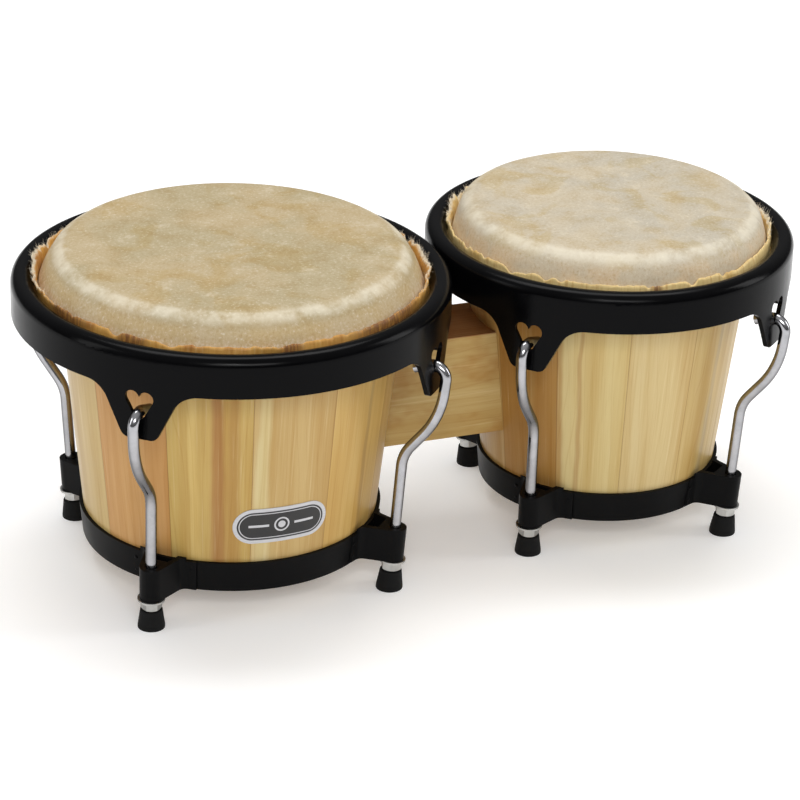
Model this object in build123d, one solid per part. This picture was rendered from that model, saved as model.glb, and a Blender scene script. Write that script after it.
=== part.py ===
from build123d import *
import os
from dataclasses import dataclass
from math import asin, atan, atan2, cos, degrees, hypot, radians, sin, sqrt, tan

# Pair of bongo drums: two tapered wooden stave shells joined by a wooden block.  Each drum has
# a rawhide head that a steel rim pulls down with four hooked rods, nuts and a welded base band.
#
# Frame: millimetres, +Z up, +X from the large drum towards the small one, and the origin on
# the floor under the middle of the overall length.

# ---- Driving dimensions ----------------------------------------------------------------------

CENTRE_DISTANCE = 220.5     # between the two drum axes
STATIONS = 4                # tuning stations on each drum

# Shells
SHELL_BOTTOM_Z = 18.5
SHELL_TOP_Z = 182.4
SHELL_WALL = 11.5
STAVES = 12                 # in each shell
BEARING_EDGE_R = 10.0       # rounding that the head passes over
GLUE_LINE = 0.04            # between neighbouring staves
FIT_GAP = 0.03              # between pieces that bear on each other

# Heads
SKIN = 1.2
COLLAR_END_Z = 163.0
ROUNDING_R = 10.0           # inside of the skin, just off the bearing edge

# Flesh hoop, with the skin tucked round it
HOOP_Z = 153.0
HOOP_INSET = 10.6           # from the outside of the rim to the middle of the hoop's wire
HOOP_WIRE_R = 3.0
WRAP_R = 4.2
TAIL_TOP_Z = 167.5
TAIL_INSET = 13.0           # from the outside of the rim to the outside of the tucked tail
TAIL_THICKNESS = 1.2

# Rims
RIM_TOP_Z = 168.9
SKIRT_BOTTOM_Z = 147.0
RIM_PLATE = 2.5
ROLL_WIDTH = 11.8           # the rolled top, across
ROLL_R = 5.8
TAB_BOTTOM_Z = 120.0
TAB_HALF_BOTTOM = 9.2
TAB_HALF_TOP = 22.4
TAB_HALF_REACH = 34.0       # where the tab has run out into the skirt
TAB_CORNER_R = 5.0
TAB_SHOULDER_R = 14.0
HEART_LOBE_R = 4.0
HEART_LOBE_Y = 3.9
HEART_LOBE_Z = 142.6
HEART_TIP_R = 3.5
HEART_TIP_Z = 134.7

# Base bands and lugs
BAND_BOTTOM_Z = 17.9
BAND_TOP_Z = 35.0
BAND_PLATE = 2.0
LUG_BOTTOM = 17.9           # along the rod from the floor
LUG_HEIGHT = 19.0
LUG_PLATE = 2.6
LUG_ROOT_R = 5.0            # where a wing turns into its flange
LUG_BARREL_R = 6.3
LUG_BORE_R = 3.35
LUG_HALF_BASE = 13.5
FLANGE_PLATE = 1.2
FLANGE_TOP = 0.3            # above the band
FLANGE_REACH = 4.6          # beyond the lug on each side

# Tension rods, nuts, washers and feet.  A rod leans outwards, and a little to one side, because
# the rim sits slightly turned from the lugs.
ROD_R = 3.0
ROD_LEAN = 3.2              # degrees from vertical, outwards
ROD_SIDE_LEAN = 1.6         # degrees from vertical, anticlockwise seen from above
ROD_END = 3.5               # along the rod from the floor
ROD_KNEE_Z = 80.0
ROD_ELBOW_Z = 106.0
ROD_ELBOW_OUT = 3.6         # outside the rim
ROD_HOOK_Z = 138.0
ROD_HOOK_OUT = 6.4
ROD_TIP_Z = 131.7
ROD_TIP_IN = 12.3           # inside the rim's outer face
ROD_BEND_RADII = [22.0, 50.0, 7.0]
WASHER_R = 7.4
WASHER_THICKNESS = 1.1
NUT_ACROSS_FLATS = 10.0
NUT_HEIGHT = 5.0
NUT_BORE_R = 3.05
NUT_PLAY = 0.1              # between the nut and its washer
FOOT_TOP = 11.3
FOOT_TOP_R = 5.9
FOOT_BOTTOM_R = 7.3
FOOT_EDGE_R = 0.8

# Connecting block and its through-bolts
BLOCK_Y = 3.0
BLOCK_THICKNESS = 43.0
BLOCK_BOTTOM_Z = 60.0
BLOCK_HEIGHT = 60.5
BOLT_HEIGHTS = [77.0, 104.0]
BOLT_R = 4.0
BOLT_HOLE_R = 4.15
BOLT_ACROSS_FLATS = 13.0
BOLT_HEAD_HEIGHT = 5.3
BOLT_NUT_HEIGHT = 6.5
BOLT_PROUD = 3.0            # past the nut
BOLT_WASHER_R = 8.0
BOLT_WASHER_THICKNESS = 1.6
SEAT_R = 9.0                # flat seat cut for the washer inside the shell
SEAT_DEPTH = 1.5

# Label on the large shell
LABEL_WIDTH = 52.0
LABEL_HEIGHT = 21.0
LABEL_THICKNESS = 0.4
LABEL_Z = 57.0
LABEL_ANGLE = 270.5


@dataclass
class Drum:
    """What differs between the two drums."""
    name: str
    centre_x: float
    rim_radius: float
    shell_bottom_radius: float
    shell_top_radius: float
    foot_circle_radius: float
    first_station: float        # degrees from +X
    collar_flare: float         # degrees from vertical
    block_side: float           # degrees: the side that faces the block
    block_stave: float          # degrees: middle of the stave that the block is bolted to


LARGE_RIM_R = 117.6
SMALL_RIM_R = 102.3
LARGE_X = -(CENTRE_DISTANCE + SMALL_RIM_R - LARGE_RIM_R) / 2
LARGE = Drum("large", LARGE_X, LARGE_RIM_R, 78.9, 95.4, 96.0, 46.0, 25.0, 0.0, 4.0)
SMALL_X = LARGE_X + CENTRE_DISTANCE
SMALL = Drum("small", SMALL_X, SMALL_RIM_R, 64.9, 82.5, 81.4, 39.3, 15.0, 180.0, 181.0)


# ---- Helpers ---------------------------------------------------------------------------------

def outline(corners):
    """Face in the XY plane from (x, y, corner radius) triples."""
    face = make_face(Polyline(*[(x, y) for x, y, _ in corners], close=True))
    for x, y, radius in corners:
        if radius:
            corner = face.vertices().sort_by_distance((x, y, 0))[0]
            face = fillet(corner, radius)
    return face


def turned(face, arc=360):
    """Solid turned about the Z axis from a face drawn as (radius, height)."""
    return revolve(Plane.XZ * face, axis=Axis.Z, revolution_arc=arc)


def at_station(drum, number, shape):
    """Shape drawn on the +X side of a drum's axis, put at one of its tuning stations."""
    angle = drum.first_station + number * 360 / STATIONS
    return Pos(drum.centre_x, 0, 0) * Rot(0, 0, angle) * shape


def every_station(drum, shape):
    return Compound(children=[at_station(drum, number, shape) for number in range(STATIONS)])


def shell_radius(drum, z):
    """Outside radius of the shell's tapered wall."""
    rise = (z - SHELL_BOTTOM_Z) / (SHELL_TOP_Z - SHELL_BOTTOM_Z)
    return drum.shell_bottom_radius + rise * (drum.shell_top_radius - drum.shell_bottom_radius)


def taper_plug(drum, clearance, bottom=0.0, top=SHELL_TOP_Z):
    """Solid cone that follows the shell's outside, larger by a clearance."""
    low = shell_radius(drum, bottom) + clearance
    high = shell_radius(drum, top) + clearance
    return turned(outline([(0, bottom, 0), (low, bottom, 0), (high, top, 0), (0, top, 0)]))


def rod_plane(drum):
    """Plane across a rod's axis at the floor, on the +X side of the drum."""
    out = radians(ROD_LEAN)
    side = radians(ROD_SIDE_LEAN)
    return Plane(
        origin=(drum.foot_circle_radius, 0, 0),
        x_dir=(cos(out), -sin(out) * sin(side), -sin(out) * cos(side)),
        z_dir=(sin(out), cos(out) * sin(side), cos(out) * cos(side)),
    )


def along_rod(drum, distance, shape):
    """Shape drawn about +Z, put on a rod's axis at a distance from the floor."""
    return rod_plane(drum).offset(distance).location * shape


def hexagon_prism(across_flats, height, bore_radius):
    """Hexagon nut or bolt head with bevelled corners, standing on the XY plane."""
    corner_radius = across_flats / sqrt(3)
    hexagon = extrude(RegularPolygon(corner_radius, 6), height)
    bevel = (corner_radius - across_flats / 2) * tan(radians(30))
    flat_radius = across_flats / 2 - 0.2
    blank = turned(outline([
        (0, 0, 0),
        (flat_radius, 0, 0),
        (corner_radius, bevel + 0.2, 0),
        (corner_radius, height - bevel - 0.2, 0),
        (flat_radius, height, 0),
        (0, height, 0),
    ]))
    prism = hexagon & blank
    if bore_radius:
        prism -= Pos(0, 0, height / 2) * Cylinder(bore_radius, height + 2)
    return prism


def ring(outer_radius, inner_radius, height):
    """Flat ring standing on the XY plane."""
    return extrude(Circle(outer_radius) - Circle(inner_radius), height)


# ---- Wooden parts ----------------------------------------------------------------------------

def bolt_seat(drum, z):
    """X of the flat seat inside the shell for a block bolt at height z."""
    inside = shell_radius(drum, z) - SHELL_WALL
    reach = sqrt(inside**2 - BLOCK_Y**2) + SEAT_DEPTH
    return drum.centre_x + reach * cos(radians(drum.block_side))


def along_x(x, z, direction, shape):
    """Shape drawn about +Z, turned to point along +X or -X at a bolt's height."""
    return Pos(x, BLOCK_Y, z) * Rot(0, 90 * direction, 0) * shape


def shell(drum):
    """Tapered shell of glued staves, with a rounded bearing edge and two bolt holes."""
    bottom = drum.shell_bottom_radius
    top = drum.shell_top_radius
    wall = outline([
        (bottom - SHELL_WALL, SHELL_BOTTOM_Z, 0),
        (bottom, SHELL_BOTTOM_Z, 0),
        (top, SHELL_TOP_Z, BEARING_EDGE_R),
        (top - SHELL_WALL, SHELL_TOP_Z, 0),
    ])
    pitch = 360 / STAVES
    stave = turned(wall, pitch - degrees(GLUE_LINE / bottom))
    staves = []
    for number in range(STAVES):
        angle = drum.block_stave + (number - 0.5) * pitch
        staves.append(Pos(drum.centre_x, 0, 0) * Rot(0, 0, angle) * stave)
    inward = -cos(radians(drum.block_side))
    for z in BOLT_HEIGHTS:
        seat = bolt_seat(drum, z)
        staves[0] -= Pos(drum.centre_x, BLOCK_Y, z) * Rot(0, 90, 0) * Cylinder(BOLT_HOLE_R, 400)
        staves[0] -= along_x(seat, z, inward, extrude(Circle(SEAT_R), 20))
    return Compound(children=staves)


def connecting_block():
    """Wooden block between the shells, with its ends scribed to them."""
    block = Box(CENTRE_DISTANCE, BLOCK_THICKNESS, BLOCK_HEIGHT)
    middle_x = LARGE.centre_x + CENTRE_DISTANCE / 2
    block = Pos(middle_x, BLOCK_Y, BLOCK_BOTTOM_Z + BLOCK_HEIGHT / 2) * block
    for drum in (LARGE, SMALL):
        block -= Pos(drum.centre_x, 0, 0) * taper_plug(drum, FIT_GAP)
    for z in BOLT_HEIGHTS:
        block -= Pos(middle_x, BLOCK_Y, z) * Rot(0, 90, 0) * Cylinder(BOLT_HOLE_R, CENTRE_DISTANCE)
    return block


def block_bolts():
    """Through-bolts with their heads inside the large shell."""
    bolts = []
    for z in BOLT_HEIGHTS:
        head_face = bolt_seat(LARGE, z) - BOLT_WASHER_THICKNESS
        nut_face = bolt_seat(SMALL, z) + BOLT_WASHER_THICKNESS
        length = nut_face + BOLT_NUT_HEIGHT + BOLT_PROUD - head_face
        head = along_x(head_face, z, -1, hexagon_prism(BOLT_ACROSS_FLATS, BOLT_HEAD_HEIGHT, 0))
        shank = along_x(head_face, z, 1, extrude(Circle(BOLT_R), length))
        bolts.append(head + shank)
    return Compound(children=bolts)


def block_bolt_washers():
    washer = ring(BOLT_WASHER_R, BOLT_HOLE_R, BOLT_WASHER_THICKNESS)
    washers = []
    for z in BOLT_HEIGHTS:
        washers.append(along_x(bolt_seat(LARGE, z), z, -1, washer))
        washers.append(along_x(bolt_seat(SMALL, z), z, 1, washer))
    return Compound(children=washers)


def block_bolt_nuts():
    nut = hexagon_prism(BOLT_ACROSS_FLATS, BOLT_NUT_HEIGHT, BOLT_R + FIT_GAP)
    nuts = []
    for z in BOLT_HEIGHTS:
        nuts.append(along_x(bolt_seat(SMALL, z) + BOLT_WASHER_THICKNESS, z, 1, nut))
    return Compound(children=nuts)


def shell_label():
    """Thin oval-ended plate that follows the front of the large shell."""
    face = SlotOverall(LABEL_WIDTH, LABEL_HEIGHT)
    punch = Rot(0, 0, LABEL_ANGLE) * Pos(0, 0, LABEL_Z) * extrude(Plane.YZ * face, 200)
    low = LABEL_Z - LABEL_HEIGHT
    high = LABEL_Z + LABEL_HEIGHT
    skin = taper_plug(LARGE, FIT_GAP + LABEL_THICKNESS, low, high)
    skin -= taper_plug(LARGE, FIT_GAP, low - 1, high + 1)
    return Pos(LARGE.centre_x, 0, 0) * (skin & punch)


# ---- Head, hoop and rim ----------------------------------------------------------------------

def head(drum):
    """Playing surface, rounded over the bearing edge and flared down towards the hoop."""
    centre_r = drum.shell_top_radius - ROUNDING_R
    centre_z = SHELL_TOP_Z - ROUNDING_R
    flare = drum.collar_flare
    surfaces = []
    for radius in (ROUNDING_R, ROUNDING_R + SKIN):
        rounding = CenterArc((centre_r, centre_z), radius, flare, 90 - flare)
        edge = rounding @ 0
        run = (edge.Y - COLLAR_END_Z) * tan(radians(flare))
        collar_end = (edge.X + run, COLLAR_END_Z)
        surfaces.append((rounding, collar_end))
    (inner_arc, inner_end), (outer_arc, outer_end) = surfaces
    edges = [
        inner_arc,
        outer_arc,
        Line(inner_arc @ 0, inner_end),
        Line(inner_end, outer_end),
        Line(outer_end, outer_arc @ 0),
        Line(outer_arc @ 1, (0, SHELL_TOP_Z + SKIN)),
        Line((0, SHELL_TOP_Z + SKIN), (0, SHELL_TOP_Z)),
        Line((0, SHELL_TOP_Z), inner_arc @ 1),
    ]
    return Pos(drum.centre_x, 0, FIT_GAP) * turned(make_face(edges))


def flesh_hoop(drum):
    """Steel wire ring that the edge of the skin is tucked round."""
    return Pos(drum.centre_x, 0, HOOP_Z) * Torus(drum.rim_radius - HOOP_INSET, HOOP_WIRE_R)


def head_tuck(drum):
    """Skin wrapped round the hoop, with its tail standing up inside the rim."""
    hoop = drum.rim_radius - HOOP_INSET
    tail = drum.rim_radius - TAIL_INSET
    wrap = Pos(hoop, HOOP_Z) * Circle(WRAP_R)
    strip = outline([
        (tail - TAIL_THICKNESS, HOOP_Z, 0),
        (tail, HOOP_Z, 0),
        (tail, TAIL_TOP_Z, 0),
        (tail - TAIL_THICKNESS, TAIL_TOP_Z, 0),
    ])
    section = wrap + strip - Pos(hoop, HOOP_Z) * Circle(HOOP_WIRE_R + FIT_GAP)
    return Pos(drum.centre_x, 0, 0) * turned(section)


def heart_face():
    """Heart outline: two lobes and a round tip that seats the rod's hook."""
    drop = HEART_LOBE_Z - HEART_TIP_Z
    lean = atan2(HEART_LOBE_Y, drop)
    normal = lean - asin((HEART_LOBE_R - HEART_TIP_R) / hypot(HEART_LOBE_Y, drop))
    out = cos(normal)
    down = sin(normal)
    right = [
        (HEART_TIP_R * out, HEART_TIP_Z - HEART_TIP_R * down, 0),
        (HEART_LOBE_Y + HEART_LOBE_R * out, HEART_LOBE_Z - HEART_LOBE_R * down, 0),
    ]
    left = [(-y, z, 0) for y, z, _ in reversed(right)]
    heart = outline(right + [(0, HEART_LOBE_Z, 0)] + left)
    heart += Pos(0, HEART_TIP_Z) * Circle(HEART_TIP_R)
    for side in (-1, 1):
        heart += Pos(side * HEART_LOBE_Y, HEART_LOBE_Z) * Circle(HEART_LOBE_R)
    return heart


def rim_turn(drum):
    """Angle from the lugs to the rim's tabs, which brings each heart to its leaning rod."""
    aside = ROD_HOOK_Z * tan(radians(ROD_SIDE_LEAN))
    return degrees(asin(aside / (drum.rim_radius - RIM_PLATE / 2)))


def rim(drum):
    """Steel rim: a skirt with a rolled top, and a tab with a heart-shaped hole at each rod."""
    outside = drum.rim_radius
    wall = outside - RIM_PLATE
    inside = outside - ROLL_WIDTH
    leg_bottom = HOOP_Z + WRAP_R + FIT_GAP
    section = outline([
        (outside, TAB_BOTTOM_Z, 0),
        (outside, RIM_TOP_Z, ROLL_R),
        (inside, RIM_TOP_Z, ROLL_R),
        (inside, leg_bottom, 0),
        (inside + RIM_PLATE, leg_bottom, 0),
        (inside + RIM_PLATE, RIM_TOP_Z - RIM_PLATE, ROLL_R - RIM_PLATE),
        (wall, RIM_TOP_Z - RIM_PLATE, ROLL_R - RIM_PLATE),
        (wall, TAB_BOTTOM_Z, 0),
    ])
    tab_top = SKIRT_BOTTOM_Z + 2
    tab_face = outline([
        (-TAB_HALF_REACH, tab_top, 0),
        (-TAB_HALF_REACH, SKIRT_BOTTOM_Z, 0),
        (-TAB_HALF_TOP, SKIRT_BOTTOM_Z, TAB_SHOULDER_R),
        (-TAB_HALF_BOTTOM, TAB_BOTTOM_Z, TAB_CORNER_R),
        (TAB_HALF_BOTTOM, TAB_BOTTOM_Z, TAB_CORNER_R),
        (TAB_HALF_TOP, SKIRT_BOTTOM_Z, TAB_SHOULDER_R),
        (TAB_HALF_REACH, SKIRT_BOTTOM_Z, 0),
        (TAB_HALF_REACH, tab_top, 0),
    ])
    waste_bottom = TAB_BOTTOM_Z - 5
    waste = ring(outside + 3, wall - 3, SKIRT_BOTTOM_Z - waste_bottom)
    waste = Pos(0, 0, waste_bottom) * waste
    tab = Pos(wall - 15, 0, 0) * extrude(Plane.YZ * tab_face, 30)
    heart = Pos(wall - 15, 0, 0) * extrude(Plane.YZ * heart_face(), 30)
    first = drum.first_station + rim_turn(drum)
    turns = [Rot(0, 0, first + n * 360 / STATIONS) for n in range(STATIONS)]
    for turn in turns:
        waste -= turn * tab
    whole = turned(section) - waste
    for turn in turns:
        whole -= turn * heart
    return Pos(drum.centre_x, 0, 0) * whole


# ---- Base band, lugs and rods ----------------------------------------------------------------

def band_outside(drum, z):
    return shell_radius(drum, z) + FIT_GAP + BAND_PLATE


def base_band(drum):
    """Tapered steel band round the foot of the shell."""
    section = []
    for z, clearance in (
        (BAND_BOTTOM_Z, FIT_GAP),
        (BAND_BOTTOM_Z, FIT_GAP + BAND_PLATE),
        (BAND_TOP_Z, FIT_GAP + BAND_PLATE),
        (BAND_TOP_Z, FIT_GAP),
    ):
        section.append((shell_radius(drum, z) + clearance, z, 0))
    return Pos(drum.centre_x, 0, 0) * turned(outline(section))


def lug(drum):
    """Bent plate welded to the band: a barrel for the rod, two wings and two flanges."""
    middle = LUG_BOTTOM + LUG_HEIGHT / 2
    band_r = band_outside(drum, middle)
    axis_x = -drum.foot_circle_radius - middle * tan(radians(ROD_LEAN))
    reach = 10 - axis_x - band_r
    base = Pos(-reach, 0) * Rectangle(2, 2 * LUG_HALF_BASE)
    face = make_hull(Circle(LUG_BARREL_R).edges() + base.edges())
    flange_r = band_r + FLANGE_PLATE
    flanges = Pos(axis_x, 0) * (Circle(flange_r) - Circle(band_r - 3))
    flanges &= Pos(axis_x + band_r, 0) * Rectangle(40, 2 * (LUG_HALF_BASE + FLANGE_REACH))
    face += flanges
    roots = []
    for vertex in face.vertices():
        on_flange = abs(hypot(vertex.X - axis_x, vertex.Y) - flange_r) < 0.01
        if on_flange and abs(vertex.Y) < LUG_HALF_BASE:
            roots.append(vertex)
    face = fillet(roots, LUG_ROOT_R)

    slope = atan((LUG_HALF_BASE - LUG_BARREL_R) / reach)
    drop = LUG_PLATE / cos(slope)
    front = LUG_BARREL_R + 1.2
    back = reach + 3
    hollow = outline([
        (-front, LUG_BARREL_R + front * tan(slope) - drop, 0),
        (-back, LUG_BARREL_R + back * tan(slope) - drop, 0),
        (-back, -LUG_BARREL_R - back * tan(slope) + drop, 0),
        (-front, -LUG_BARREL_R - front * tan(slope) + drop, 0),
    ])
    face = face - hollow - Circle(LUG_BORE_R)
    bracket = along_rod(drum, LUG_BOTTOM, extrude(face, LUG_HEIGHT))
    for side in (-1, 1):
        spot = Pos(band_r, side * (LUG_HALF_BASE + 10), BAND_TOP_Z + FLANGE_TOP + 10)
        bracket -= spot * Box(60, 20, 20)
    return bracket - taper_plug(drum, 2 * FIT_GAP + BAND_PLATE, 0, 2 * BAND_TOP_Z)


def tension_rod(drum):
    """Round rod: up through the lug, out round the rim's tab and back in through the heart."""
    slope = tan(radians(ROD_LEAN))
    foot_r = drum.foot_circle_radius
    rim_r = drum.rim_radius
    path = FilletPolyline(
        (foot_r + slope * ROD_END, 0, ROD_END),
        (foot_r + slope * ROD_KNEE_Z, 0, ROD_KNEE_Z),
        (rim_r + ROD_ELBOW_OUT, 0, ROD_ELBOW_Z),
        (rim_r + ROD_HOOK_OUT, 0, ROD_HOOK_Z),
        (rim_r - ROD_TIP_IN, 0, ROD_TIP_Z),
        radius=ROD_BEND_RADII,
    )
    start = Plane(origin=path @ 0, z_dir=path % 0)
    return Rot(-ROD_SIDE_LEAN, 0, 0) * sweep(start * Circle(ROD_R), path=path)


def nut_washer(drum):
    bottom = LUG_BOTTOM - FIT_GAP - WASHER_THICKNESS
    return along_rod(drum, bottom, ring(WASHER_R, LUG_BORE_R, WASHER_THICKNESS))


def tuning_nut(drum):
    bottom = LUG_BOTTOM - FIT_GAP - WASHER_THICKNESS - NUT_PLAY - NUT_HEIGHT
    return along_rod(drum, bottom, hexagon_prism(NUT_ACROSS_FLATS, NUT_HEIGHT, NUT_BORE_R))


def rubber_foot(drum):
    """Flared rubber foot pushed on the rod's end, with a flat bottom on the floor."""
    bore = ROD_R + FIT_GAP
    body = outline([
        (0, -3, 0),
        (FOOT_BOTTOM_R, -3, 0),
        (FOOT_BOTTOM_R, 1.5, 0),
        (FOOT_TOP_R, FOOT_TOP, FOOT_EDGE_R),
        (bore, FOOT_TOP, 0),
        (bore, ROD_END - 0.2, 0),
        (0, ROD_END - 0.2, 0),
    ])
    foot = along_rod(drum, 0, turned(body))
    return foot - Pos(drum.foot_circle_radius, 0, -20) * Box(60, 60, 40)


# ---- Assembly --------------------------------------------------------------------------------

def drum_nodes(drum):
    """Every node of one drum, by name."""
    nodes = {
        "shell": shell(drum),
        "base_band": base_band(drum),
        "base_lugs": every_station(drum, lug(drum)),
        "nut_washers": every_station(drum, nut_washer(drum)),
        "head": head(drum),
        "flesh_hoop": flesh_hoop(drum),
        "head_tuck": head_tuck(drum),
        "rim": rim(drum),
    }
    for kind, shape in (
        ("tension_rod", tension_rod(drum)),
        ("tuning_nut", tuning_nut(drum)),
        ("rubber_foot", rubber_foot(drum)),
    ):
        for number in range(STATIONS):
            nodes[f"{kind}_{number + 1}"] = at_station(drum, number, shape)
    return {f"{drum.name}_{name}": shape for name, shape in nodes.items()}


def main():
    nodes = {
        "connecting_block": connecting_block(),
        "block_bolts": block_bolts(),
        "block_bolt_washers": block_bolt_washers(),
        "block_bolt_nuts": block_bolt_nuts(),
        "shell_label": shell_label(),
    }
    for drum in (LARGE, SMALL):
        nodes.update(drum_nodes(drum))
    os.makedirs("parts", exist_ok=True)
    for name, shape in nodes.items():
        export_step(shape, f"parts/{name}.step")
    print(len(nodes), "nodes written")


main()
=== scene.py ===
import random
from dataclasses import dataclass, field
from math import asin, atan2, cos, degrees, exp, pi, radians, sin, sqrt, tan

import bpy
from mathutils import Matrix, Vector, noise


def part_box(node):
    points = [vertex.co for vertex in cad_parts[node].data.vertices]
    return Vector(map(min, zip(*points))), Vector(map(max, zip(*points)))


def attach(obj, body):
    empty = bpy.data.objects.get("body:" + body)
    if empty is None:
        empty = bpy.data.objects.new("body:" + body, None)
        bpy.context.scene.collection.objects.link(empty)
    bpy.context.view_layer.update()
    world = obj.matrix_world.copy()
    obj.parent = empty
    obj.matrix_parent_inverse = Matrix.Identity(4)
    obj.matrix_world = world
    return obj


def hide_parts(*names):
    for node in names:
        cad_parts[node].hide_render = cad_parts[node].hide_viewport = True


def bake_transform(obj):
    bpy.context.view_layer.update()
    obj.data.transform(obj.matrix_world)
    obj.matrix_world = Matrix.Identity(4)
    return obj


# Pair of bongo drums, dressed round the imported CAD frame.  Metres, +Z up, +X from the large
# drum towards the small one.  The steel and wooden parts are the CAD nodes with materials of
# their own.  The rawhide heads, the torn tails tucked inside the rims, the weld marks and the
# label's print are made here.

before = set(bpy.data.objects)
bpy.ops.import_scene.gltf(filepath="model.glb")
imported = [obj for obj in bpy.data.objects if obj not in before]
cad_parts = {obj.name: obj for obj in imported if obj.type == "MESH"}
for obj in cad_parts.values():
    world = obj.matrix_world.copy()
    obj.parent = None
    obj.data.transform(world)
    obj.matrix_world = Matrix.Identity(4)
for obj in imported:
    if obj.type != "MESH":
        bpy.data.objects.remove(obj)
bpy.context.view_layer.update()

MM = 0.001


@dataclass
class Drum:
    """One drum's measures, and what makes its wood and skin its own.

    The angles of the collar, the seams and the rods repeat the CAD model's.  The centre, the
    radii and the heights come from the frame.  Bearings are in degrees from +X.
    """
    name: str
    collar_flare: float                 # degrees from vertical
    first_seam: float                   # where a stave begins
    first_station: float                # where a rod stands
    stave_colours: list
    streaks: list                       # (middle, half width, colour) of odd-coloured wood
    frayed: list                        # (middle, width, strength) of the tail's torn stretches
    burnt: list                         # (middle, half width) of the tail's brown stretches
    tail_drift: tuple                   # mm that the tail leans over, and in which direction
    seed: int
    centre: Vector = field(init=False)
    rim_r: float = field(init=False)
    rim_top: float = field(init=False)
    collar_r: float = field(init=False)
    collar_z: float = field(init=False)
    head_top: float = field(init=False)

    def __post_init__(self):
        low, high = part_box(f"{self.name}_rim")
        self.centre = Vector(((low.x + high.x) / 2, (low.y + high.y) / 2, 0))
        self.rim_r = (high.x - low.x) / 2
        self.rim_top = high.z
        low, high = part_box(f"{self.name}_head")
        self.collar_r = (high.x - low.x) / 2
        self.collar_z = low.z
        self.head_top = high.z

    def body(self, part):
        return f"{self.name}_{part}"


STAVES = 12                     # in each shell, as in the CAD model
STATION_ANGLES = (0, 90, 180, 270)

# Timber colours
PALE = (0.66, 0.52, 0.26)
CREAM = (0.69, 0.56, 0.27)
HONEY = (0.58, 0.42, 0.165)
YELLOW = (0.59, 0.42, 0.145)
GOLDEN = (0.59, 0.42, 0.18)
AMBER = (0.63, 0.43, 0.15)
TAN = (0.56, 0.37, 0.14)
PINKISH = (0.58, 0.325, 0.115)
ORANGE = (0.46, 0.25, 0.07)
# Brown stretches of a tail
BURNT = (0.20, 0.075, 0.025)

LARGE = Drum(
    name="large",
    collar_flare=25.0,
    first_seam=199.0,
    first_station=46.0,
    stave_colours=[
        PINKISH, YELLOW, GOLDEN, AMBER, TAN, GOLDEN, PALE, TAN, YELLOW, ORANGE, GOLDEN, HONEY,
    ],
    streaks=[
        (247.0, 3.4, (0.40, 0.19, 0.06)),
        (238.5, 2.2, (0.66, 0.48, 0.17)),
        (252.5, 3.2, (0.50, 0.31, 0.10)),
        (263.0, 3.4, (0.73, 0.64, 0.36)),
        (308.0, 1.6, (0.46, 0.30, 0.11)),
    ],
    frayed=[(160.0, 28.0, 1.0), (352.0, 26.0, 1.0), (90.0, 40.0, 0.2), (262.0, 6.0, 0.5)],
    burnt=[(304.0, 22.0), (197.0, 13.0), (222.0, 7.0), (268.0, 5.0)],
    tail_drift=(0.4, 180.0),
    seed=3,
)
SMALL = Drum(
    name="small",
    collar_flare=15.0,
    first_seam=196.0,
    first_station=39.3,
    stave_colours=[
        ORANGE, CREAM, PALE, HONEY, YELLOW, TAN, GOLDEN, PINKISH, YELLOW, GOLDEN, PALE, TAN,
    ],
    streaks=[
        (213.0, 3.0, (0.50, 0.31, 0.11)),
        (226.5, 3.0, (0.46, 0.26, 0.08)),
        (236.0, 1.5, (0.50, 0.32, 0.12)),
        (303.0, 2.2, (0.47, 0.34, 0.16)),
    ],
    frayed=[(142.0, 24.0, 1.0), (350.0, 22.0, 1.0), (70.0, 40.0, 0.2)],
    burnt=[(262.0, 3.0)],
    tail_drift=(0.9, 190.0),
    seed=8,
)
DRUMS = (LARGE, SMALL)


# ---- Materials: a small kit for building node trees ------------------------------------------

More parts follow.
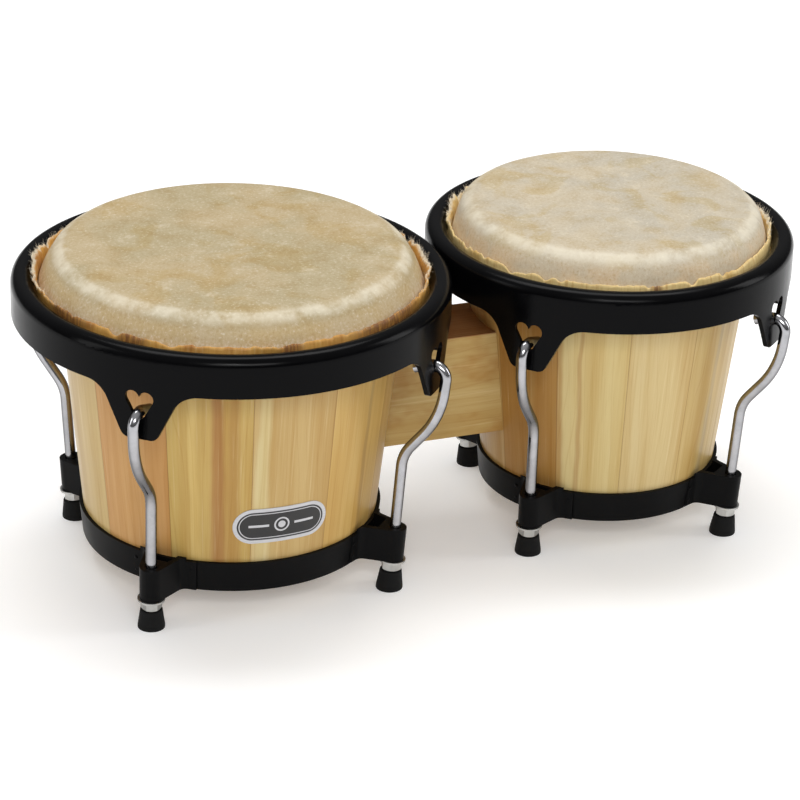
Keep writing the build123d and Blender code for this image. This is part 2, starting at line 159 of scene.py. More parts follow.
class Surface:
    """One procedural material, whose patterns are measured in millimetres of the frame."""

    def __init__(self, name, roughness, metallic=0.0, specular=0.5):
        self.material = bpy.data.materials.new(name)
        self.material.use_nodes = True
        self.tree = self.material.node_tree
        self.shader = self.tree.nodes["Principled BSDF"]
        self.set("Roughness", roughness)
        self.set("Metallic", metallic)
        self.set("Specular IOR Level", specular)
        coordinates = self.tree.nodes.new("ShaderNodeTexCoord").outputs["Object"]
        scale = self.node("VectorMath", {0: coordinates, 3: 1 / MM}, operation="SCALE")
        self.position = scale.outputs[0]

    def set(self, socket, value):
        self.put(self.shader, socket, value)

    def put(self, node, socket, value):
        if isinstance(value, bpy.types.NodeSocket):
            self.tree.links.new(value, node.inputs[socket])
        elif hasattr(value, "__len__") and len(value) == 3 and node.inputs[socket].type == "RGBA":
            node.inputs[socket].default_value = (*value, 1.0)
        else:
            node.inputs[socket].default_value = value

    def node(self, kind, inputs, **settings):
        made = self.tree.nodes.new("ShaderNode" + kind)
        for key, value in settings.items():
            setattr(made, key, value)
        for socket, value in inputs.items():
            self.put(made, socket, value)
        return made

    def math(self, operation, a, b=0.0):
        return self.node("Math", {0: a, 1: b}, operation=operation).outputs[0]

    def absolute(self, a):
        return self.math("ABSOLUTE", a)

    def length(self, a, b):
        """Length of the flat vector (a, b)."""
        return self.math("SQRT", self.add(self.times(a, a), self.times(b, b)))

    def add(self, a, b):
        return self.math("ADD", a, b)

    def subtract(self, a, b):
        return self.math("SUBTRACT", a, b)

    def times(self, a, b):
        return self.math("MULTIPLY", a, b)

    def split(self, vector):
        return self.node("SeparateXYZ", {0: vector}).outputs

    def join(self, x, y, z):
        return self.node("CombineXYZ", {0: x, 1: y, 2: z}).outputs[0]

    def noise(self, vector, scale, detail, roughness=0.55, distortion=0.0):
        inputs = {
            "Vector": vector,
            "Scale": scale,
            "Detail": detail,
            "Roughness": roughness,
            "Distortion": distortion,
        }
        return self.node("TexNoise", inputs).outputs["Fac"]

    def stretched(self, a, a_scale, b, b_scale, slice_at, detail, roughness=0.55):
        """Noise with a scale of its own along each of two measures, in one slice of a third."""
        place = self.join(self.times(a, a_scale), self.times(b, b_scale), slice_at)
        return self.noise(place, 1.0, detail, roughness)

    def ramp(self, value, stops, interpolation="LINEAR"):
        made = self.node("ValToRGB", {0: value})
        made.color_ramp.interpolation = interpolation
        elements = made.color_ramp.elements
        while len(elements) < len(stops):
            elements.new(1.0)
        for element, (place, colour) in zip(elements, stops):
            element.position = place
            element.color = (*colour, 1.0)
        return made.outputs["Color"]

    def fade(self, value, low, high, start=0.0, end=1.0):
        """Number that goes smoothly from start at low to end at high."""
        inputs = {"Value": value, "From Min": low, "From Max": high, "To Min": start, "To Max": end}
        made = self.node("MapRange", inputs, interpolation_type="SMOOTHSTEP")
        return made.outputs["Result"]

    def mix(self, factor, a, b, blend="MIX"):
        made = self.node("Mix", {0: factor}, data_type="RGBA", blend_type=blend)
        self.put(made, 6, a)
        self.put(made, 7, b)
        return made.outputs[2]

    def bump(self, height, distance, strength=1.0):
        """Relief whose height of 1 stands a distance in millimetres proud."""
        inputs = {"Height": height, "Distance": distance * MM, "Strength": strength}
        self.set("Normal", self.node("Bump", inputs).outputs[0])

    def about(self, centre):
        """Turns from -0.5 to 0.5 round a drum's axis, from +X, and height in millimetres."""
        x, y, z = self.split(self.position)
        across = self.subtract(x, centre.x / MM)
        turns = self.times(self.math("ARCTAN2", y, across), 1 / (2 * pi))
        return turns, z

    def turns_past(self, turns, bearing):
        """Turns from -0.5 to 0.5 past a bearing in degrees."""
        shifted = self.math("FRACT", self.add(turns, 2 - (bearing - 180) / 360))
        return self.subtract(shifted, 0.5)


# ---- Wood ------------------------------------------------------------------------------------

def wood_relief(s, across, along, slice_at, colour):
    """Adds grain to a colour: across and along the fibres in mm, in one slice of the timber.

    It gives the colour, the height of the grain, and the broad changes of tone.
    """
    broad = s.stretched(across, 0.085, along, 0.0042, slice_at, 2.0)
    streaks = s.stretched(across, 0.55, along, 0.011, slice_at, 4.0, 0.65)
    fine = s.stretched(across, 2.2, along, 0.05, slice_at, 3.0, 0.6)
    wander = s.stretched(across, 0.03, along, 0.007, slice_at, 1.0)
    ring_phase = s.add(s.times(across, 0.16), s.times(wander, 4.5))
    rings = s.absolute(s.math("SINE", s.times(ring_phase, pi)))
    late_wood = s.fade(rings, 0.22, 0.0)
    colour = s.mix(s.fade(broad, 0.36, 0.70), colour, (0.88, 0.80, 0.66), "MULTIPLY")
    colour = s.mix(s.fade(streaks, 0.48, 0.80, 0.0, 0.60), colour, (0.82, 0.70, 0.50), "MULTIPLY")
    colour = s.mix(s.fade(streaks, 0.44, 0.24, 0.0, 0.40), colour, (0.80, 0.68, 0.40))
    colour = s.mix(s.times(late_wood, 0.26), colour, (0.76, 0.58, 0.38), "MULTIPLY")
    colour = s.mix(s.fade(fine, 0.52, 0.82, 0.0, 0.40), colour, (0.78, 0.66, 0.50), "MULTIPLY")
    relief = s.add(s.times(fine, 0.6), s.times(late_wood, 0.25))
    return colour, relief, broad


def stave_wood(drum):
    """Lacquered staves: each has its own timber colour and grain, with a fine glue line between."""
    s = Surface(f"{drum.name}_stave_wood", roughness=0.34, specular=0.22)
    turns, z = s.about(drum.centre)
    from_seam = s.math("FRACT", s.add(turns, 2 - drum.first_seam / 360))
    count = s.times(from_seam, STAVES)
    stave = s.math("FLOOR", count)
    within = s.subtract(count, stave)
    across = s.times(from_seam, 2 * pi * drum.collar_r / MM)
    slice_at = s.add(s.times(stave, 7.3), drum.seed)
    stops = [((n + 0.02) / STAVES if n else 0.0, c) for n, c in enumerate(drum.stave_colours)]
    colour = s.ramp(s.times(s.add(stave, 0.5), 1 / STAVES), stops, "CONSTANT")
    # Boards aren't the same colour from edge to edge
    tilt = s.stretched(stave, 3.7, within, 1.2, 1.5, 0.0)
    colour = s.mix(s.fade(tilt, 0.35, 0.65, 0.0, 0.35), colour, (0.90, 0.82, 0.66), "MULTIPLY")
    for number, (middle, half, tone) in enumerate(drum.streaks):
        drift = s.noise(s.join(s.times(z, 0.016), 4.0 + 5 * number, drum.seed), 1.0, 2.0)
        off = s.add(s.turns_past(turns, middle), s.times(s.subtract(drift, 0.5), 0.014))
        narrow = s.fade(z, 20.0, 190.0, 1.25 * half / 360, 0.7 * half / 360)
        streak = s.fade(s.math("DIVIDE", s.absolute(off), narrow), 1.0, 0.25, 0.0, 0.8)
        colour = s.mix(streak, colour, tone)
    colour, relief, broad = wood_relief(s, across, z, slice_at, colour)
    edge = s.math("MINIMUM", within, s.subtract(1.0, within))
    seam = s.fade(edge, 0.010, 0.0, 0.0, 0.55)
    colour = s.mix(seam, colour, (0.42, 0.27, 0.13), "MULTIPLY")
    s.set("Base Color", colour)
    s.set("Roughness", s.fade(broad, 0.2, 0.8, 0.30, 0.42))
    s.bump(s.subtract(relief, s.times(seam, 1.4)), 0.05, 0.5)
    s.set("Coat Weight", 0.08)
    s.set("Coat Roughness", 0.2)
    return s.material


def block_wood():
    """Plain-sawn block with its grain running from drum to drum."""
    s = Surface("block_wood", roughness=0.42, specular=0.25)
    x, y, z = s.split(s.position)
    across = s.add(z, s.times(y, 0.8))
    colour, relief, broad = wood_relief(s, across, x, 2.7, HONEY)
    stain = s.stretched(x, 0.028, z, 0.05, y, 3.0, 0.6)
    colour = s.mix(s.fade(stain, 0.42, 0.66, 0.15, 0.9), colour, (0.80, 0.62, 0.42), "MULTIPLY")
    # Painted shade: the top face, in the shadow of the rims above, is painted darker and redder
    top_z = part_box("connecting_block")[1].z / MM
    top = s.fade(z, top_z - 0.8, top_z - 0.2)
    colour = s.mix(top, colour, (0.62, 0.44, 0.46), "MULTIPLY")
    s.set("Base Color", colour)
    s.set("Roughness", s.fade(broad, 0.2, 0.8, 0.38, 0.52))
    s.bump(relief, 0.08, 0.6)
    return s.material


# ---- Rawhide ---------------------------------------------------------------------------------

def rawhide(drum, warm, cool, collar):
    """Scraped skin: mottled, flecked on top, paler where it turns (partly a painted highlight), fibrous
    down the collar.
    """
    s = Surface(f"{drum.name}_rawhide", roughness=0.62, specular=0.25)
    turns, z = s.about(drum.centre)
    clouds = s.noise(s.position, 0.021, 3.0, 0.55, 0.4)
    patches = s.noise(s.position, 0.075, 4.0, 0.6)
    flecks = s.noise(s.position, 0.62, 3.0, 0.65)
    grit = s.noise(s.position, 1.7, 2.0, 0.6)
    colour = s.mix(s.fade(clouds, 0.36, 0.64), warm, cool)
    blots = s.noise(s.position, 0.034, 4.0, 0.5, 0.8)
    colour = s.mix(s.fade(blots, 0.50, 0.62, 0.0, 0.70), colour, (0.92, 0.84, 0.64), "MULTIPLY")
    colour = s.mix(s.fade(patches, 0.46, 0.72, 0.0, 0.6), colour, (0.84, 0.76, 0.60), "MULTIPLY")
    colour = s.mix(s.fade(patches, 0.44, 0.26, 0.0, 0.45), colour, (0.70, 0.62, 0.48))
    colour = s.mix(s.fade(flecks, 0.50, 0.74, 0.0, 0.65), colour, (0.82, 0.74, 0.58), "MULTIPLY")
    colour = s.mix(s.fade(flecks, 0.46, 0.26, 0.0, 0.50), colour, (0.74, 0.68, 0.54))
    colour = s.mix(s.fade(grit, 0.52, 0.78, 0.0, 0.50), colour, (0.78, 0.68, 0.52), "MULTIPLY")
    # Radial fibres show where the skin is drawn down over the edge
    arc = s.times(turns, 2 * pi * drum.collar_r / MM)
    fibres = s.stretched(arc, 0.75, z, 0.16, drum.seed, 4.0, 0.65)
    top = drum.head_top / MM
    down = s.fade(z, top - 3.5, top - 10.0)
    stain = s.stretched(arc, 0.05, z, 0.05, drum.seed, 3.0)
    fibrous = s.mix(s.fade(stain, 0.42, 0.62), collar, tuple(1.12 * c for c in warm))
    fibrous = s.mix(s.fade(fibres, 0.50, 0.76, 0.0, 0.40), fibrous, (0.80, 0.68, 0.50), "MULTIPLY")
    fibrous = s.mix(s.fade(fibres, 0.44, 0.24, 0.0, 0.35), fibrous, (0.74, 0.66, 0.52))
    fibrous = s.mix(s.fade(flecks, 0.50, 0.74, 0.0, 0.60), fibrous, (0.80, 0.68, 0.50), "MULTIPLY")
    fibrous = s.mix(s.fade(flecks, 0.46, 0.24, 0.0, 0.65), fibrous, (0.76, 0.69, 0.56))
    fibrous = s.mix(s.fade(grit, 0.52, 0.76, 0.0, 0.6), fibrous, (0.78, 0.66, 0.50), "MULTIPLY")
    colour = s.mix(down, colour, fibrous)
    # Pale band on the turn, partly skin stretched paler over the edge and partly a painted highlight
    # where light catches the turn, and pale scraped fibres by the tail
    turn_in = s.fade(z, top - 0.1, top - 1.4)
    turn_out = s.fade(z, top - 7.0, top - 2.5)
    band = s.times(s.times(turn_in, turn_out), s.fade(patches, 0.72, 0.38, 0.10, 0.60))
    colour = s.mix(band, colour, (0.78, 0.72, 0.58))
    low_edge = s.fade(z, top - 12.0, top - 18.0)
    scraped = s.times(low_edge, s.fade(flecks, 0.56, 0.40, 0.10, 0.6))
    colour = s.mix(scraped, colour, (0.72, 0.64, 0.50))
    s.set("Base Color", colour)
    s.set("Roughness", s.fade(clouds, 0.3, 0.7, 0.52, 0.68))
    relief = s.add(s.times(flecks, 0.6), s.times(grit, 0.45))
    relief = s.add(relief, s.times(s.times(fibres, down), 0.4))
    s.bump(relief, 0.20, 0.7)
    return s.material


def tail_hide(drum, face, patch):
    """Dried tail of the skin: amber with upright streaks and a pale torn edge."""
    s = Surface(f"{drum.name}_tail_hide", roughness=0.48, specular=0.4)
    turns, z = s.about(drum.centre)
    arc = s.times(turns, 2 * pi * drum.collar_r / MM)
    streaks = s.stretched(arc, 0.55, z, 0.06, drum.seed, 4.0, 0.6)
    patches = s.stretched(arc, 0.045, z, 0.03, drum.seed, 2.0)
    grit = s.noise(s.position, 1.6, 3.0, 0.6)
    colour = s.mix(s.fade(patches, 0.50, 0.68, 0.0, 0.9), face, patch)
    colour = s.mix(s.fade(streaks, 0.44, 0.74, 0.0, 0.7), colour, (0.66, 0.46, 0.28), "MULTIPLY")
    colour = s.mix(s.fade(streaks, 0.46, 0.24, 0.0, 0.6), colour, (0.74, 0.56, 0.28))
    for middle, half in drum.burnt:
        off = s.absolute(s.turns_past(turns, middle))
        dark = s.times(s.fade(off, half / 360, 0.3 * half / 360), s.fade(streaks, 0.68, 0.44))
        colour = s.mix(s.times(dark, 0.9), colour, BURNT)
    torn = s.node("Attribute", {}, attribute_name="torn").outputs["Fac"]
    ragged = s.add(torn, s.times(s.subtract(grit, 0.5), 1.3))
    ragged = s.add(ragged, s.times(s.subtract(streaks, 0.5), 0.9))
    colour = s.mix(s.fade(ragged, 0.45, 1.0), colour, (0.78, 0.69, 0.53))
    s.set("Base Color", colour)
    s.set("Roughness", s.fade(ragged, 0.3, 0.8, 0.45, 0.85))
    s.bump(s.add(s.times(streaks, 0.8), grit), 0.25, 0.7)
    return s.material


def fibre_hide():
    """Loose hairs of the torn edge."""
    s = Surface("torn_fibres", roughness=0.8, specular=0.2)
    tone = s.noise(s.position, 0.4, 2.0)
    s.set("Base Color", s.ramp(tone, [(0.3, (0.62, 0.50, 0.33)), (0.7, (0.88, 0.82, 0.70))]))
    return s.material


# ---- Metal, rubber and print -----------------------------------------------------------------

def painted_steel(name, roughness, specular, tone):
    """Black baked enamel: faint orange peel, a little dust and slightly uneven gloss."""
    s = Surface(name, roughness=roughness, specular=specular)
    peel = s.noise(s.position, 0.55, 2.0, 0.5)
    smear = s.noise(s.position, 0.03, 3.0, 0.6)
    dust = s.noise(s.position, 1.9, 2.0, 0.7)
    colour = s.mix(s.fade(smear, 0.3, 0.7), tone, tuple(1.35 * c for c in tone))
    colour = s.mix(s.fade(dust, 0.66, 0.86, 0.0, 0.3), colour, (0.03, 0.03, 0.032))
    s.set("Base Color", colour)
    s.set("Roughness", s.fade(smear, 0.25, 0.75, roughness - 0.05, roughness + 0.06))
    s.bump(peel, 0.015, 0.3)
    return s.material


def bright_metal(name, tone, edge, roughness, scratch_size):
    """Plated steel with fine draw marks, slightly cloudy, and a painted dark reflection where it turns
    away.
    """
    s = Surface(name, roughness=roughness, metallic=1.0)
    x, y, z = s.split(s.position)
    marks = s.noise(s.join(s.times(x, 2.2), s.times(y, 2.2), s.times(z, scratch_size)), 1.0, 3.0)
    cloud = s.noise(s.position, 0.12, 3.0, 0.6)
    colour = s.mix(s.fade(cloud, 0.3, 0.7), tone, tuple(0.84 * c for c in tone))
    # Painted reflection: the colour goes to the dark edge tone where the surface turns from view
    facing = s.node("LayerWeight", {"Blend": 0.5}).outputs["Facing"]
    colour = s.mix(s.fade(facing, 0.18, 0.75), colour, edge)
    s.set("Base Color", colour)
    s.set("Roughness", s.fade(cloud, 0.25, 0.75, 0.75 * roughness, 1.35 * roughness))
    s.bump(marks, 0.012, 0.35)
    return s.material


def rubber():
    """Moulded black rubber, matt and a little dusty."""
    s = Surface("foot_rubber", roughness=0.7, specular=0.15)
    grain = s.noise(s.position, 1.4, 3.0, 0.6)
    dust = s.noise(s.position, 0.22, 4.0, 0.65)
    colour = s.mix(s.fade(dust, 0.45, 0.8, 0.0, 0.5), (0.006, 0.006, 0.006), (0.016, 0.0155, 0.015))
    s.set("Base Color", colour)
    s.set("Roughness", s.fade(dust, 0.3, 0.7, 0.60, 0.78))
    s.bump(grain, 0.06, 0.5)
    return s.material


PANEL_INSET = 2.0               # mm in from the edge of the badge
LINE_INSETS = (2.95, 3.45)
RING_RADII = (3.35, 4.25)
DISC_R = 2.05
BAR_HALF_HEIGHT = 0.7
BAR_ENDS = (7.05, 17.95)
PRINT_EDGE = 0.05               # half the width over which a printed edge fades


def label_print():
    """Plain badge: silver oval-ended plate, black panel, fine line, ring, disc and two bars."""
    s = Surface("label_print", roughness=0.35)
    low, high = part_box("shell_label")
    middle = (low + high) / 2 / MM
    half_height = (high.z - low.z) / 2 / MM
    half_straight = (high.x - low.x) / 2 / MM - half_height
    x, _, z = s.split(s.position)
    across = s.subtract(x, middle.x)
    up = s.subtract(z, middle.z)

    def inside(value, limit, edge=PRINT_EDGE):
        return s.fade(value, limit + edge, limit - edge)

    def between(value, limits):
        low_limit, high_limit = limits
        past_low = s.fade(value, low_limit - PRINT_EDGE, low_limit + PRINT_EDGE)
        return s.times(past_low, inside(value, high_limit))

    # Distance from the middle line of the oval-ended plate
    past = s.math("MAXIMUM", s.subtract(s.absolute(across), half_straight), 0.0)
    out = s.length(past, up)
    panel = inside(out, half_height - PANEL_INSET, 2 * PRINT_EDGE)
    line = between(out, (half_height - LINE_INSETS[1], half_height - LINE_INSETS[0]))
    from_middle = s.length(across, up)
    ring = between(from_middle, RING_RADII)
    disc = inside(from_middle, DISC_R)
    bars = s.times(inside(s.absolute(up), BAR_HALF_HEIGHT), between(s.absolute(across), BAR_ENDS))
    print_on = s.math("MAXIMUM", s.math("MAXIMUM", line, ring), s.math("MAXIMUM", disc, bars))
    black = s.times(panel, s.subtract(1.0, print_on))
    brushed = s.stretched(x, 0.15, z, 3.0, 0.0, 3.0)
    silver = s.ramp(brushed, [(0.3, (0.50, 0.50, 0.52)), (0.7, (0.66, 0.66, 0.68))])
    s.set("Base Color", s.mix(black, silver, (0.016, 0.016, 0.017)))
    s.set("Roughness", s.fade(black, 0.0, 1.0, 0.38, 0.30))
    s.bump(s.add(s.times(brushed, 0.25), black), 0.03, 0.5)
    return s.material


# ---- Meshes ----------------------------------------------------------------------------------

def new_object(name, vertices, faces, material, smooth=True):
    mesh = bpy.data.meshes.new(name)
    mesh.from_pydata(vertices, [], faces)
    mesh.validate()
    mesh.update()
    mesh.materials.append(material)
    if smooth:
        mesh.shade_smooth()
    made = bpy.data.objects.new(name, mesh)
    bpy.context.scene.collection.objects.link(made)
    return made


def lathed(name, centre, rows, steps, place, material):
    """Closed skin of rows of (radius, height), each turned about an axis.

    place(row, angle) gives a row's radius and height at an angle, so that a turned form can be
    uneven.  A row of radius 0 is a single point.
    """
    vertices = []
    loops = []
    for row in range(rows):
        radius, height = place(row, 0.0)
        if radius == 0:
            loops.append([len(vertices)])
            vertices.append((centre.x, centre.y, height))
            continue
        loop = []
        for step in range(steps):
            angle = 2 * pi * step / steps
            radius, height = place(row, angle)
            loop.append(len(vertices))
            vertices.append((centre.x + radius * cos(angle), centre.y + radius * sin(angle), height))
        loops.append(loop)
    faces = []
    for low, high in zip(loops, loops[1:]):
        for step in range(steps):
            after = (step + 1) % steps
            corners = [low[step % len(low)], low[after % len(low)]]
            corners += [high[after % len(high)], high[step % len(high)]]
            faces.append(tuple(dict.fromkeys(corners)))
    if len(loops[0]) > 1:
        first, last = loops[0], loops[-1]
        for step in range(steps):
            after = (step + 1) % steps
            faces.append((last[step], last[after], first[after], first[step]))
    return new_object(name, vertices, faces, material)


def ripple(angle, cycles, seed, level=0.0):
    """Smooth noise of about -1 to 1 that closes on itself after one turn."""
    reach = cycles / (2 * pi)
    point = Vector((reach * cos(angle), reach * sin(angle), 10.0 * seed + level))
    return 1.6 * noise.noise(point)


# ---- Heads -----------------------------------------------------------------------------------

SKIN = 1.2 * MM
ROUNDING = 10.0 * MM            # inside of the skin, over the bearing edge
SKIN_END = 155.0 * MM           # behind the tail
HEAD_STEPS = 480
FULLNESS = 1.0 * MM             # how far the dried collar stands out past a straight cone


def head_profile(drum):
    """(radius, height, how far round the turn it is, normal) down the outside of the skin."""
    flare = radians(drum.collar_flare)
    outer = ROUNDING + SKIN
    turn_z = drum.head_top - outer
    # The collar runs straight from the turn to its end, which fixes the middle of the turn
    run = (turn_z + outer * sin(flare) - drum.collar_z) * tan(flare)
    turn_r = drum.collar_r - run - outer * cos(flare)
    points = [(0.0, drum.head_top, Vector((0, 1)))]
    flat_rows = 30
    for row in range(1, flat_rows):
        points.append((turn_r * row / flat_rows, drum.head_top, Vector((0, 1))))
    turn_rows = 16
    for row in range(turn_rows + 1):
        angle = pi / 2 - (pi / 2 - flare) * row / turn_rows
        out = Vector((cos(angle), sin(angle)))
        points.append((turn_r + outer * out.x, turn_z + outer * out.y, out))
    start_r, start_z, out = points[-1]
    collar_rows = 14
    for row in range(1, collar_rows + 1):
        part = row / collar_rows
        place = (start_r + part * (drum.collar_r - start_r), start_z + part * (drum.collar_z - start_z))
        points.append((*place, out))
    end_rows = 5
    for row in range(1, end_rows + 1):
        part = row / end_rows
        ease = 1 - (1 - part) ** 2
        bulge = 0.3 * MM * ease
        height = drum.collar_z + part * (SKIN_END - drum.collar_z)
        points.append((drum.collar_r + bulge, height, Vector((1, 0.2 * (1 - part))).normalized()))
    return points


def head_skin(drum, material):
    """The head in one piece, uneven as dried skin is, ending behind the tail."""
    profile = head_profile(drum)
    rows = 2 * len(profile)
    lowest = drum.collar_z - 2 * MM

    def place(row, angle):
        inner = row >= len(profile)
        radius, height, out = profile[rows - 1 - row if inner else row]
        if radius == 0:
            return 0.0, height - (SKIN if inner else 0.0)
        depth = max(0.0, min(1.0, (drum.head_top - height) / (drum.head_top - lowest)))
        wave = 0.45 * ripple(angle, 9, drum.seed, 40 * height)
        wave += 0.25 * ripple(angle, 31, drum.seed, 90 * height)
        swell = MM * wave * sin(pi * depth) * 0.9 + FULLNESS * sin(0.8 * pi * depth)
        spot = Vector((45 * radius * cos(angle), 45 * radius * sin(angle), drum.seed))
        dimple = 0.12 * MM * noise.noise(spot)
        radius += swell * out.x
        height += swell * out.y + dimple * (1 - depth)
        if inner:
            radius -= SKIN * out.x
            height -= SKIN * out.y
        return radius, height

    head = lathed(f"{drum.name}_skin", drum.centre, rows, HEAD_STEPS, place, material)
    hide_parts(f"{drum.name}_head")
    drum.body("rim_set")
    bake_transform(head)


# ---- Tails: the edge of the skin, wrapped round the hoop and standing up inside the rim -------

HOOP_Z = 153.0 * MM
HOOP_INSET = 10.6 * MM          # from the outside of the rim
WRAP_R = 4.2 * MM
TAIL_INSET = 13.0 * MM          # outside face of the tail, from the outside of the rim
TAIL_THICKNESS = 1.2 * MM
TAIL_PROUD = 0.9 * MM           # height above the rim's top, before it is torn
TAIL_STEPS = 1440
TAIL_RISE = (0.0, 0.3, 0.55, 0.72, 0.82, 0.89, 0.94, 0.97, 0.99, 1.0)
TAIL_FREE = 0.45                # part of the tail's height from which it leans
TAIL_SWOLLEN = 0.7              # and from which it is swollen where it is frayed
TAIL_THIN = 0.9                 # and from which it thins to its edge
TORN_DEPTH = 1.9 * MM


def fray(drum, angle):
    """How badly the tail is torn at an angle, from 0 to about 1."""
    total = 0.0
    for middle, width, strength in drum.frayed:
        off = (degrees(angle) - middle + 180) % 360 - 180
        total += strength * exp(-((off / width) ** 2))
    return min(1.0, total)


def tail_top(drum, angle):
    """Height of the tail's torn edge."""
    torn = fray(drum, angle)
    slow = 0.5 * ripple(angle, 9, drum.seed)
    bites = -2.8 * max(0.0, ripple(angle, 26, drum.seed, 3.0) - 0.08)
    notches = -3.0 * max(0.0, ripple(angle, 90, drum.seed, 4.0) - 0.18)
    teeth = (0.35 + 0.55 * torn) * ripple(angle, 170, drum.seed, 5.0)
    frizz = (0.15 + 0.35 * torn) * ripple(angle, 420, drum.seed, 7.0)
    flaps = torn * (1.2 + 1.5 * ripple(angle, 44, drum.seed, 9.0))
    return drum.rim_top + TAIL_PROUD + MM * (slow + bites + notches + teeth + frizz + flaps)


def tail_lean(drum, angle, part):
    """How far the tail leans out from its upright place, near its edge."""
    torn = fray(drum, angle)
    free = max(0.0, part - TAIL_FREE) / (1 - TAIL_FREE)
    drift, direction = drum.tail_drift
    curl = 0.3 * ripple(angle, 17, drum.seed, 12.0) - 0.7
    curl += (0.2 + 0.9 * torn) * ripple(angle, 74, drum.seed, 14.0)
    curl += (0.1 + 1.5 * torn) * ripple(angle, 165, drum.seed, 16.0)
    curl += 2.2 * torn + drift * cos(angle - radians(direction))
    return MM * free * free * curl


def tail(drum, material):
    """The skin's edge: once round the hoop, then up inside the rim to its torn end."""
    hoop_r = drum.rim_r - HOOP_INSET
    outside = drum.rim_r - TAIL_INSET
    inside = outside - TAIL_THICKNESS
    start = atan2(sqrt(WRAP_R**2 - (hoop_r - inside) ** 2), inside - hoop_r)
    end = atan2(sqrt(WRAP_R**2 - (hoop_r - outside) ** 2), outside - hoop_r) + 2 * pi
    wrap_rows = 18
    rise = len(TAIL_RISE)
    rows = wrap_rows + 2 * rise

    def place(row, angle):
        if row < wrap_rows:
            round_hoop = start + (end - start) * row / wrap_rows
            return hoop_r + WRAP_R * cos(round_hoop), HOOP_Z + WRAP_R * sin(round_hoop)
        up = row - wrap_rows
        inner = up >= rise
        part = TAIL_RISE[2 * rise - 1 - up if inner else up]
        base_angle = start if inner else end
        foot = HOOP_Z + WRAP_R * sin(base_angle)
        top = tail_top(drum, angle)
        height = foot + part * (top - foot)
        thin = 1 - 0.8 * (max(0.0, part - TAIL_THIN) / (1 - TAIL_THIN)) ** 2
        swollen = max(0.0, part - TAIL_SWOLLEN) / (1 - TAIL_SWOLLEN)
        swollen = 1 + 0.7 * fray(drum, angle) * swollen
        lumps = 1 + 0.18 * ripple(angle, 110, drum.seed, 20 * part)
        half = TAIL_THICKNESS / 2 * thin * swollen * lumps
        middle = (outside + inside) / 2 + tail_lean(drum, angle, part)
        return middle + (-half if inner else half), height

    made = lathed(f"{drum.name}_skin_tail", drum.centre, rows, TAIL_STEPS, place, material)
    # How near each point is to the torn edge, for the material
    torn = made.data.attributes.new("torn", "FLOAT", "POINT")
    levels = []
    for vertex in made.data.vertices:
        spot = vertex.co - drum.centre
        angle = atan2(spot.y, spot.x)
        below = tail_top(drum, angle) - spot.z
        torn_here = fray(drum, angle)
        depth = TORN_DEPTH * (0.3 + 1.7 * torn_here)
        levels.append((0.2 + 0.8 * torn_here) * max(0.0, min(1.0, 1 - below / depth)))
    torn.data.foreach_set("value", levels)
    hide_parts(f"{drum.name}_head_tuck")
    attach(made, drum.body("rim_set"))


FIBRES = 1100                   # on each drum
FIBRE_R = 0.075 * MM
FIBRE_PIECES = 4
FIBRE_SIDES = 3


def add_fibre(vertices, faces, spot, heading, bend, length):
    """Adds one tapered hair that grows from a spot and turns as it goes."""
    rings = []
    for piece in range(FIBRE_PIECES + 1):
        heading.normalize()
        radius = FIBRE_R * (1 - 0.7 * piece / FIBRE_PIECES)
        first = heading.orthogonal().normalized()
        second = heading.cross(first)
        ring = []
        for corner in range(FIBRE_SIDES):
            turn = 2 * pi * corner / FIBRE_SIDES
            ring.append(len(vertices))
            vertices.append(spot + radius * (cos(turn) * first + sin(turn) * second))
        rings.append(ring)
        spot = spot + heading * (length / FIBRE_PIECES)
        heading = heading + bend * (1.6 / FIBRE_PIECES)
    for low, high in zip(rings, rings[1:]):
        for corner in range(FIBRE_SIDES):
            after = (corner + 1) % FIBRE_SIDES
            faces.append((low[corner], low[after], high[after], high[corner]))
    faces.append(tuple(reversed(rings[0])))
    faces.append(tuple(rings[-1]))


def fibres(drum, material):
    """Loose hairs along the torn edge, thickest where it is frayed."""
    dice = random.Random(drum.seed)
    vertices = []
    faces = []
    middle_r = drum.rim_r - TAIL_INSET - TAIL_THICKNESS / 2
    grown = 0
    while grown < FIBRES:
        angle = dice.uniform(0, 2 * pi)
        torn = fray(drum, angle)
        if dice.random() > 0.12 + 0.88 * torn:
            continue
        grown += 1
        length = MM * dice.uniform(1.0, 2.0 + 2.4 * torn)
        root_r = middle_r + tail_lean(drum, angle, 1.0) + MM * dice.uniform(-0.3, 0.3)
        out = Vector((cos(angle), sin(angle), 0))
        side = Vector((-sin(angle), cos(angle), 0))
        spot = drum.centre + out * root_r
        spot.z = tail_top(drum, angle) - 0.5 * MM
        heading = Vector((0, 0, 1)) * dice.uniform(0.2, 1.0)
        heading += side * dice.uniform(-1.0, 1.0) + out * dice.uniform(-0.5, 0.45)
        bend = side * dice.uniform(-0.5, 0.5) + Vector((0, 0, dice.uniform(-0.7, 0.2)))
        add_fibre(vertices, faces, spot, heading, bend, length)
    made = new_object(f"{drum.name}_torn_fibres", vertices, faces, material)
    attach(made, drum.body("rim_set"))


# ---- Weld marks ------------------------------------------------------------------------------

WELD_R = 1.0 * MM
WELD_HEIGHT = 0.25 * MM
WELD_SUNK = 0.2 * MM            # how far a mark's edge goes into the flange
WELD_RINGS = 4
WELD_STEPS = 16
WELD_ASIDE = 16.4 * MM          # from the middle of the lug
# Heights above the bottom of the band
WELD_UP = (5.0 * MM, 12.5 * MM)
BAND_TAPER = 5.6                # degrees from vertical
FLANGE_PLATE = 1.2 * MM
FLANGE_INSIDE = 0.05 * MM       # how far a mark's middle is set below the flange's face


